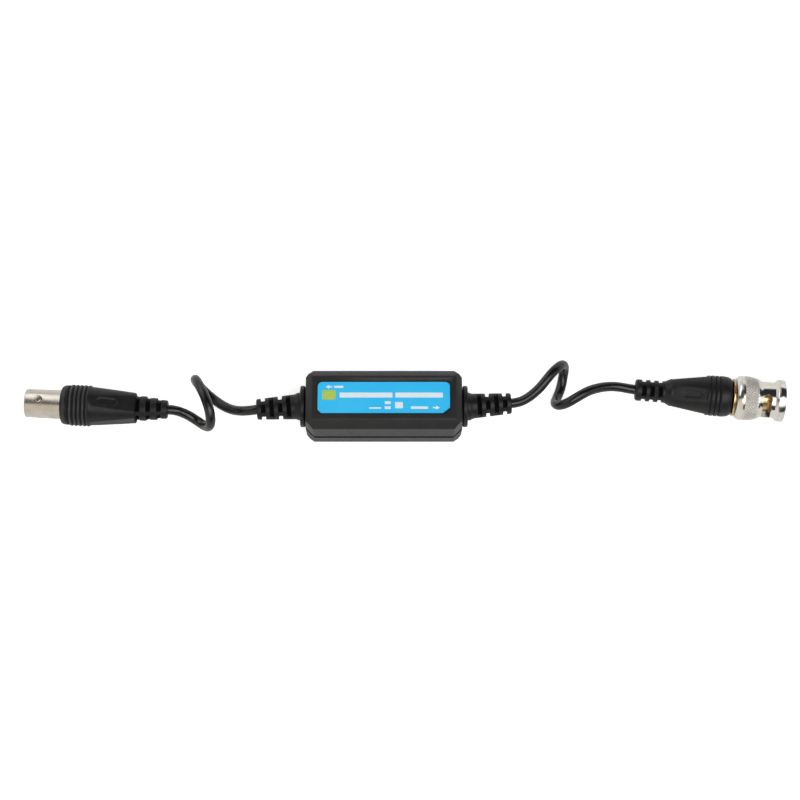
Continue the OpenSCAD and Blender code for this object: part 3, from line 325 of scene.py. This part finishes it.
# The jack and the plug are drawn along Z and then laid in their places
atJack, atPlug = (
    Matrix.Translation(Vector(seat["at"]) * mm) @ Matrix.Rotation(math.radians(seat["yaw"]), 4, "Z")
    @ Matrix.Rotation(math.radians(90), 4, "Y") for seat in (jackSeat, plugSeat))
weld = {"copy": 0.002, "turned": 0.0005}  # points nearer than this, in mm, are one


def pieceFrom(bm, name, material, smoothAngle=30):
    mesh = bpy.data.meshes.new(name)
    bm.to_mesh(mesh)
    bm.free()
    mesh.materials.append(material)
    mesh.shade_smooth()
    mesh.set_sharp_from_angle(angle=math.radians(smoothAngle))
    piece = bpy.data.objects.new(name, mesh)
    scene.collection.objects.link(piece)
    return piece


def settle(piece, body, node):
    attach(piece, body)
    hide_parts(node)
    return piece


def bakeModifiers(piece, smoothAngle=30):
    graph = bpy.context.evaluated_depsgraph_get()
    mesh = bpy.data.meshes.new_from_object(piece.evaluated_get(graph))
    piece.modifiers.clear()
    piece.data = mesh
    mesh.shade_smooth()
    if smoothAngle:
        mesh.set_sharp_from_angle(angle=math.radians(smoothAngle))


def mergedCopy(node):
    bm = bmesh.new()
    bm.from_mesh(nodes[node].data)
    bmesh.ops.remove_doubles(bm, verts=bm.verts, dist=weld["copy"] * mm)
    return bm


def turned(profile, steps):  # a closed profile of (radius, height) in mm, spun round Z
    bm = bmesh.new()
    verts = [bm.verts.new((r * mm, 0, z * mm)) for r, z in profile]
    edges = [bm.edges.new(pair) for pair in zip(verts, verts[1:] + verts[:1])]
    bmesh.ops.spin(bm, geom=verts + edges, cent=(0, 0, 0), axis=(0, 0, 1), angle=math.tau, steps=steps,
                   use_merge=True)
    bmesh.ops.remove_doubles(bm, verts=bm.verts, dist=weld["turned"] * mm)
    bmesh.ops.recalc_face_normals(bm, faces=bm.faces)
    return bm


def rounded(bm, width, angle=25):  # breaks the sharp rings of a turned piece
    sharp = [e for e in bm.edges if len(e.link_faces) == 2 and e.calc_face_angle(0) > math.radians(angle)]
    bmesh.ops.bevel(bm, geom=sharp, offset=width * mm, segments=2, profile=0.5, affect="EDGES",
                    clamp_overlap=True, material=-1)


# Box: the two shells with their long edges broken
boxLook = {
    "halfLength": 26.3, "halfDepth": 10.5, "middle": 10, "cutCorner": 3.1,  # as in the solids
    "edge": 0.2, "segments": 3,
    "seam": 8.9, "seamTop": 10, "seamDepth": 0.6, "undercut": 1.3, "lip": 0.5,  # the shadow groove
    "onGroove": 0.2, "onLevel": 0.02,
    "sideFrom": (23.8, 7.45), "holeFrom": 22, "hole": 4.6, "bluntest": 12, "shortest": 0.5,  # which edges are broken
    "keptBelow": (8.2, 20), "keptAbove": (0, 10.2)}  # heights at the seam whose edges stay sharp


def brokenShell(name, node, kept):
    bm = mergedCopy(node)
    bmesh.ops.dissolve_limit(bm, angle_limit=math.radians(1), verts=bm.verts, edges=bm.edges)
    # The floor of the shadow groove falls away inwards, so that it stays dark
    ledge, back = set(), set()
    for vert in bm.verts:
        x, y, z = (abs(c) / mm for c in vert.co)
        toEnd, toFront = boxLook["halfLength"] - x, boxLook["halfDepth"] - y
        inset = min(toEnd, toFront, (toEnd + toFront - boxLook["cutCorner"]) / math.sqrt(2))
        atSeam = abs(z - boxLook["seam"]) < boxLook["onLevel"]
        inSeam = boxLook["seam"] - boxLook["onLevel"] < z < boxLook["seamTop"] + boxLook["onLevel"]
        if abs(inset - boxLook["seamDepth"]) < boxLook["onGroove"] and inSeam:
            back.add(vert)
            vert.co.z -= (boxLook["undercut"] if atSeam else 0) * mm
        elif inset < boxLook["onGroove"] and atSeam:
            ledge.add(vert)
            vert.co.z -= boxLook["lip"] * mm
    # Painted shade on the faces inside the shadow groove
    sunk = bm.loops.layers.float.new("sunk")
    for face in bm.faces:
        if back.intersection(face.verts) and (ledge | back).issuperset(face.verts):
            for loop in face.loops:
                loop[sunk] = 1
    # Only the outer edges are broken, and not those at the kept heights
    outer = []
    for edge in bm.edges:
        if len(edge.link_faces) != 2 or edge.calc_face_angle(0) < math.radians(boxLook["bluntest"]):
            continue
        mid = (edge.verts[0].co + edge.verts[1].co) / 2 / mm
        up = mid.z - boxLook["middle"]
        onSide = abs(mid.x) > boxLook["sideFrom"][0] or abs(mid.y) > boxLook["sideFrom"][1]
        offSeam = not kept[0] < mid.z < kept[1]
        outward = sum((f.normal for f in edge.link_faces), Vector()).dot(Vector((mid.x / 4, mid.y, up))) > 0
        inHole = abs(mid.x) > boxLook["holeFrom"] and math.hypot(mid.y, up) < boxLook["hole"]
        if onSide and offSeam and outward and not inHole and edge.calc_length() > boxLook["shortest"] * mm:
            outer.append(edge)
    bmesh.ops.bevel(bm, geom=outer, offset=boxLook["edge"] * mm, segments=boxLook["segments"], profile=0.5,
                    affect="EDGES", clamp_overlap=True, material=-1)
    return settle(pieceFrom(bm, name, finishes["shell"], 24), "isolator", node)


brokenShell("lowerShell", "lower_shell", boxLook["keptBelow"])
brokenShell("upperShell", "upper_shell", boxLook["keptAbove"])
print("box made")


# Soft mouldings: each solid remeshed, so that all its edges round off as in a mould
softLook = {"ring": 0.4, "shade": 0.2, "fade": 0.7, "rib": 0.2, "ribShade": 0.8, "highlightFrom": 0.3}
grommetLook = {"voxel": 0.14, "slots": (2.8, 13.6), "end": 26.3, "height": 10, "flange": 1.7, "lean": 4.2}
jackBootLook = {"voxel": 0.178, "slots": (37, 47), "ribs": (12.8, 21.4)}
plugBootLook = {"voxel": 0.178, "slots": (1.8, 9.6), "ribs": (24, 29)}


def softMoulding(name, node, place, look):
    piece = pieceFrom(mergedCopy(node), name, finishes["rubber"])
    remesh = piece.modifiers.new("remesh", "REMESH")
    remesh.mode = "VOXEL"
    remesh.voxel_size = look["voxel"] * mm
    soften = piece.modifiers.new("soften", "SMOOTH")
    soften.factor, soften.iterations = 0.5, 1
    bakeModifiers(piece, 0)
    # Painted shade inside the slots, by the depth under the outline at that place on the axis, and between the ribs,
    # and a painted highlight on the rib crests
    toAxis = place.inverted()
    spots = [toAxis @ v.co / mm for v in piece.data.vertices]
    radii = [math.hypot(s.x, s.y) for s in spots]
    outline = {}
    for spot, radius in zip(spots, radii):
        ring = round(spot.z / softLook["ring"])
        outline[ring] = max(outline.get(ring, 0), radius)
    sunk, crestHighlight = (piece.data.attributes.new(kind, "FLOAT", "POINT") for kind in ("sunk", "crestHighlight"))
    slotFrom, slotTo = look["slots"]
    ribFrom, ribTo = look.get("ribs", (0, 0))
    for number, (spot, radius) in enumerate(zip(spots, radii)):
        ring = round(spot.z / softLook["ring"])
        if slotFrom < spot.z < slotTo:
            under = outline[ring] - radius - softLook["shade"]
            sunk.data[number].value = min(1, max(0, under / softLook["fade"]))
        elif ribFrom < spot.z < ribTo:
            near = [outline[ring + s] for s in (-2, -1, 0, 1, 2)]
            valley, crest = max(near) - radius, radius - min(near)
            sunk.data[number].value = softLook["ribShade"] * min(1, max(0, valley / softLook["rib"]))
            crestHighlight.data[number].value = min(1, max(0, crest / softLook["rib"] - softLook["highlightFrom"]))
    return settle(piece, "isolator", node)


def grommetPlace(side):  # from the flange's outer face along the leaning flexible part
    outwards = Matrix.Rotation(math.radians(side * 90), 4, "Y")
    leaning = Matrix.Rotation(math.radians(-side * grommetLook["lean"]), 4, "X")
    return (Matrix.Translation(Vector((side * grommetLook["end"], 0, grommetLook["height"])) * mm) @ outwards
            @ Matrix.Translation((0, 0, grommetLook["flange"] * mm)) @ leaning)


softMoulding("leftGrommet", "left_grommet", grommetPlace(-1), grommetLook)
softMoulding("rightGrommet", "right_grommet", grommetPlace(1), grommetLook)
jackBoot = softMoulding("jackBoot", "jack_boot", atJack, jackBootLook)
plugBoot = softMoulding("plugBoot", "plug_boot", atPlug, plugBootLook)
print("mouldings made")

# Jack: turned barrel with its two studs
jackLook = {"steps": 160, "edge": 0.1, "stud": 2.2, "studHeight": 1.1, "studEdge": 0.2, "studOut": 4.95,
            "studAt": 4.8, "fillet": 0.45, "filletHeight": 0.7, "filletDown": 0.1, "filletTop": 0.02}
bm = turned([
    (4.115, 8.9), (4.075, 0.35), (4.3, 0), (4.525, 0), (4.825, 0.3), (4.825, 13), (5.5, 13), (5.5, 14.5),
    (3.4, 14.5), (3.4, 23.5), (2.5, 23.5), (2.5, 27.5), (2.13, 27.5), (2.13, 8.9)], jackLook["steps"])
rounded(bm, jackLook["edge"])
sunk = bm.verts.layers.float.new("sunk")
studRadius = jackLook["stud"] / 2
for turn in (0, 180):
    stud = bmesh.ops.create_cone(bm, cap_ends=True, segments=48, radius1=studRadius * mm, radius2=studRadius * mm,
                                 depth=jackLook["studHeight"] * mm)["verts"]
    rim = [e for e in {e for v in stud for e in v.link_edges} if all(v.co.z > 0 for v in e.verts)]
    foot = bmesh.ops.create_cone(bm, cap_ends=True, segments=48, radius1=(studRadius + jackLook["fillet"]) * mm,
                                 radius2=(studRadius - jackLook["filletTop"]) * mm,
                                 depth=jackLook["filletHeight"] * mm)["verts"]
    bmesh.ops.translate(bm, vec=(0, 0, -jackLook["filletDown"] * mm), verts=foot)
    for vert in foot:  # painted shade round the stud's foot
        vert[sunk] = 1
    place = (Matrix.Rotation(math.radians(turn), 4, "Z")
             @ Matrix.Translation((jackLook["studOut"] * mm, 0, jackLook["studAt"] * mm))
             @ Matrix.Rotation(math.radians(90), 4, "Y"))
    bmesh.ops.transform(bm, matrix=place, verts=stud + foot)
    bmesh.ops.bevel(bm, geom=rim, offset=jackLook["studEdge"] * mm, segments=3, profile=0.5, affect="EDGES",
                    clamp_overlap=True, material=-1)
bmesh.ops.transform(bm, matrix=atJack, verts=bm.verts)
jackShell = settle(pieceFrom(bm, "jackShell", finishes["jackNickel"]), "isolator", "jack_shell")


def smoothCopy(name, node, finish, edge):  # the solid with its edges broken by so many mm
    bm = mergedCopy(node)
    rounded(bm, edge, 40)
    return settle(pieceFrom(bm, name, finishes[finish], 35), "isolator", node)


jackInsulator = smoothCopy("jackInsulator", "jack_insulator", "insulator", 0.06)
jackContact = smoothCopy("jackContact", "jack_contact", "gold", 0.04)
plugCollar = smoothCopy("plugCollar", "plug_collar", "gold", 0.15)
plugBody = smoothCopy("plugBody", "plug_body", "gold", 0.05)
plugInsulator = smoothCopy("plugInsulator", "plug_insulator", "insulator", 0.05)
plugPin = smoothCopy("plugPin", "plug_pin", "gold", 0.05)
print("jack and inner contacts made")

# Coupling sleeve: turned, knurled with crossing diamonds, and cut for the two studs
sleeveLook = {
    "steps": 384, "from": 33.7, "to": 50.1, "back": 3.75, "bore": 4.95, "neck": 6.025, "rim": 7.1,
    "knurlFrom": 36.45, "knurlTo": 41.1, "knurlRows": 40, "knurlAt": 7.4,
    "pitch": 1.1, "knurlDepth": 0.3,  # real diamonds are half this size: drawn coarse to show
    "knurlOver": 6.2, "plainEnd": 0.05,
    "fadeIn": 0.3, "fadeOut": 0.5, "valley": 0.78, "matt": 0.42,
    "slotAt": 44.0, "slot": 2.9, "hole": 3.3, "sweep": 80, "roll": 18}
start, end = sleeveLook["from"], sleeveLook["to"]
outline = [(sleeveLook["back"], start), (6.35, start), (6.5, start + 0.08), (7.05, start + 0.65), (7.28, start + 1),
           (7.48, start + 1.5), (7.55, start + 2.1), (7.25, start + 2.25), (7.25, start + 2.55)]
barrel = [(start + 2.7, 7.55), (start + 4.7, 7.5), (start + 6, 7.25), (start + 7, 6.95), (start + 7.9, 6.5),
          (start + 8.6, 6.12)]
shoulder = [(6.5, start + 7.9), (6.12, start + 8.6), (sleeveLook["neck"], start + 8.85)]
mouth = [(sleeveLook["neck"], end - 3.4), (6.6, end - 2.9), (7.05, end - 2.45), (sleeveLook["rim"], end - 2.3),
         (6.85, end - 2.25), (6.85, end - 2.0), (sleeveLook["rim"], end - 1.95), (sleeveLook["rim"], end - 0.35),
         (6.98, end - 0.1), (6.75, end), (5.25, end), (sleeveLook["bore"], end - 0.3),
         (sleeveLook["bore"], start + 2.2), (sleeveLook["back"], start + 2.2)]


def radiusAt(z):  # of the barrel under the knurl
    for (z0, r0), (z1, r1) in zip(barrel, barrel[1:]):
        if z <= z1:
            return r0 + (r1 - r0) * max(0, (z - z0) / (z1 - z0))
    return barrel[-1][1]


for row in range(sleeveLook["knurlRows"] + 1):
    z = sleeveLook["knurlFrom"] + (sleeveLook["knurlTo"] - sleeveLook["knurlFrom"]) * row / sleeveLook["knurlRows"]
    outline.append((radiusAt(z), z))
bm = turned(outline + shoulder + mouth, sleeveLook["steps"])
around = round(math.tau * sleeveLook["knurlAt"] / sleeveLook["pitch"])
sunk, matt = (bm.verts.layers.float.new(name) for name in ("sunk", "matt"))
for vert in bm.verts:
    r, z = math.hypot(vert.co.x, vert.co.y), vert.co.z / mm
    inside = min(z - sleeveLook["knurlFrom"], sleeveLook["knurlTo"] - z)
    if r > sleeveLook["knurlOver"] * mm and inside > sleeveLook["plainEnd"]:
        turnsDone = math.atan2(vert.co.y, vert.co.x) / math.tau * around
        rise = (z - start) / sleeveLook["pitch"]
        ridges = [abs((turnsDone + s * rise) % 1 - 0.5) * 2 for s in (-1, 1)]
        fade = min(1, (z - sleeveLook["knurlFrom"]) / sleeveLook["fadeIn"],
                   (sleeveLook["knurlTo"] - z) / sleeveLook["fadeOut"])
        depth = fade * (1 - min(ridges))
        # painted shade deep in the knurl's valleys
        vert[sunk] = max(0, depth - sleeveLook["valley"]) / (1 - sleeveLook["valley"])
        vert[matt] = sleeveLook["matt"]
        sink = sleeveLook["knurlDepth"] * depth * mm
        vert.co.x *= 1 - sink / r
        vert.co.y *= 1 - sink / r
sleeve = pieceFrom(bm, "couplingSleeve", finishes["plugNickel"])


def cutAway(piece, cutters):
    for cutter in cutters:
        cut = piece.modifiers.new("cut", "BOOLEAN")
        cut.operation = "DIFFERENCE"
        cut.solver = "EXACT"
        cut.object = cutter
    bakeModifiers(piece)
    for cutter in cutters:
        bpy.data.objects.remove(cutter)


def blockAlong(angle, low, high):  # a block from low to high in mm, turned round Z
    bm = bmesh.new()
    bmesh.ops.create_cube(bm, size=1)
    size = [(b - a) * mm for a, b in zip(low, high)]
    middle = [(a + b) / 2 * mm for a, b in zip(low, high)]
    bmesh.ops.transform(bm, matrix=Matrix.Rotation(math.radians(angle), 4, "Z") @ Matrix.Translation(middle)
                        @ Matrix.Diagonal((*size, 1)), verts=bm.verts)
    return pieceFrom(bm, "cutter", finishes["plugNickel"])


# Each stud's way in: a hole where it rests, a slot round the sleeve, and an entry along it that stays inside the rim
cutLook = {"through": 6, "at": 6.8, "inner": 3.9, "outer": 9, "steps": 60, "entryFrom": 3, "entryTo": 5.7, "past": 53}
halfSlot = sleeveLook["slot"] / 2
slotLow, slotHigh = sleeveLook["slotAt"] - halfSlot, sleeveLook["slotAt"] + halfSlot
slotSection = [(cutLook[side], z) for side, z in (
    ("inner", slotLow), ("outer", slotLow), ("outer", slotHigh), ("inner", slotHigh))]
cutters = []
for turn in (0, 180):
    first = 180 + sleeveLook["roll"] + turn
    toStud = Matrix.Rotation(math.radians(first), 4, "Z")
    bm = bmesh.new()
    bmesh.ops.create_cone(bm, cap_ends=True, segments=64, radius1=sleeveLook["hole"] / 2 * mm,
                          radius2=sleeveLook["hole"] / 2 * mm, depth=cutLook["through"] * mm)
    bmesh.ops.transform(bm, matrix=toStud @ Matrix.Translation((cutLook["at"] * mm, 0, sleeveLook["slotAt"] * mm))
                        @ Matrix.Rotation(math.radians(90), 4, "Y"), verts=bm.verts)
    cutters.append(pieceFrom(bm, "cutter", finishes["plugNickel"]))
    bm = bmesh.new()
    face = bm.faces.new([bm.verts.new((r * mm, 0, z * mm)) for r, z in slotSection])
    bmesh.ops.spin(bm, geom=[face, *face.verts, *face.edges], cent=(0, 0, 0), axis=(0, 0, 1),
                   angle=math.radians(sleeveLook["sweep"]), steps=cutLook["steps"])
    bmesh.ops.recalc_face_normals(bm, faces=bm.faces)
    bmesh.ops.transform(bm, matrix=toStud, verts=bm.verts)
    cutters.append(pieceFrom(bm, "cutter", finishes["plugNickel"]))
    cutters.append(blockAlong(first + sleeveLook["sweep"], (cutLook["entryFrom"], -halfSlot, slotLow),
                              (cutLook["entryTo"], halfSlot, cutLook["past"])))
cutAway(sleeve, cutters)
sleeve.data.transform(atPlug)
settle(sleeve, "coupling_sleeve", "coupling_sleeve")
print("sleeve cut", len(sleeve.data.polygons))

# Spring washer: a merged copy with a mesh of its own
spring = settle(pieceFrom(mergedCopy("wave_washer"), "springWasher", finishes["plugNickel"]), "isolator",
                "wave_washer")
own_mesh(spring)

# Floor: a pale table that glows for the camera, so that it keeps only a faint shadow
floorLook = {"colour": "#f4f4f4", "size": 3, "toCamera": 0.6, "inMetal": 0.08}
material, tree = newMaterial("white_table")
table = addNode(tree, "ShaderNodeBsdfDiffuse", {"Color": linearColour(floorLook["colour"])})
rays = addNode(tree, "ShaderNodeLightPath").outputs
byCamera, byMetal = (addNode(tree, "ShaderNodeMapRange", {"To Max": most}, {"Value": rays[kind]}).outputs[0]
                     for kind, most in (("Is Camera Ray", floorLook["toCamera"]),
                                        ("Is Glossy Ray", floorLook["inMetal"])))
seen = addNode(tree, "ShaderNodeMath", {"operation": "ADD"}, {0: byCamera, 1: byMetal})
glow = addNode(tree, "ShaderNodeEmission", {"Color": linearColour("#ffffff")}, {"Strength": seen.outputs[0]})
whole = addNode(tree, "ShaderNodeAddShader", links={0: table.outputs[0], 1: glow.outputs[0]})
finishWith(material, tree, whole)
bm = bmesh.new()
bmesh.ops.create_grid(bm, x_segments=1, y_segments=1, size=floorLook["size"])
floor = pieceFrom(bm, "floor", material)

# Light: a tent of white cloth with dark gaps, seen as bands in the metal, and two soft boxes
tentLook = {
    "strength": 1.3, "low": "#d9d9d9", "turnFrom": -0.13, "turnTo": -0.05, "hemFrom": 0.04, "hemTo": 0.12,
    # greys by the angle back from straight up, in degrees, for the left half of the tent and for the right
    "left": [(-90, "#d3cabf"), (-24, "#d3cabf"), (-17, "#4a4846"), (22, "#4a4846"), (30, "#a8a5a0"), (52, "#a8a5a0"),
             (60, "#bdbdbb"), (90, "#bdbdbb")],
    "right": [(-90, "#2c2b2b"), (-56, "#2c2b2b"), (-49, "#ffffff"), (-4, "#ffffff"), (3, "#28282a"),
              (56, "#28282a"), (63, "#e2e2e2"), (90, "#e2e2e2")]}
world = bpy.data.worlds.new("tent")
scene.world = world
world.use_nodes = True
tree = world.node_tree
tree.nodes.clear()
direction = addNode(tree, "ShaderNodeTexCoord").outputs["Generated"]
split = addNode(tree, "ShaderNodeSeparateXYZ", links={0: direction})
lean = addNode(tree, "ShaderNodeMath", {"operation": "ARCTAN2"}, {0: split.outputs["Y"], 1: split.outputs["Z"]})
along = addNode(tree, "ShaderNodeMapRange", {"From Min": -math.pi / 2, "From Max": math.pi / 2},
                {"Value": lean.outputs[0]})
halves = []
for stops in (tentLook["left"], tentLook["right"]):
    ramp = addNode(tree, "ShaderNodeValToRGB", links={"Fac": along.outputs[0]})
    while len(ramp.color_ramp.elements) < len(stops):
        ramp.color_ramp.elements.new(0.5)
    for stop, (angle, colour) in zip(ramp.color_ramp.elements, stops):
        stop.position = (angle + 90) / 180
        stop.color = linearColour(colour)
    halves.append(ramp.outputs["Color"])
side = addNode(tree, "ShaderNodeMapRange", {"From Min": tentLook["turnFrom"], "From Max": tentLook["turnTo"]},
               {"Value": split.outputs["X"]})
cloth = addNode(tree, "ShaderNodeMix", {"data_type": "RGBA"}, {0: side.outputs[0], 6: halves[0], 7: halves[1]})
aboveHem = addNode(tree, "ShaderNodeMapRange", {"From Min": tentLook["hemFrom"], "From Max": tentLook["hemTo"]},
                   {"Value": split.outputs["Z"]})
tent = addNode(tree, "ShaderNodeMix", {"data_type": "RGBA", 6: linearColour(tentLook["low"])},
               {0: aboveHem.outputs[0], 7: cloth.outputs[2]})
back = addNode(tree, "ShaderNodeBackground", {"Strength": tentLook["strength"]}, {"Color": tent.outputs[2]})
addNode(tree, "ShaderNodeOutputWorld", links={"Surface": back.outputs[0]})

lampLook = {
    "keyBox": {"place": (-0.48, 0.38, 0.47), "size": (0.8, 0.45), "power": 1.3},  # in m and W
    "fillBox": {"place": (0.25, -0.35, 0.75), "size": (0.9, 0.5), "power": 3.0}}
for name, look in lampLook.items():  # each faces the middle of the box
    light = bpy.data.lights.new(name, "AREA")
    light.shape = "RECTANGLE"
    light.size, light.size_y = look["size"]
    light.energy = look["power"]
    lamp = bpy.data.objects.new(name, light)
    lamp.location = look["place"]
    lamp.rotation_euler = (-Vector(look["place"])).to_track_quat("-Z", "Y").to_euler()
    scene.collection.objects.link(lamp)
print("light set")

scene.view_settings.view_transform = "Standard"
print("scene ready")
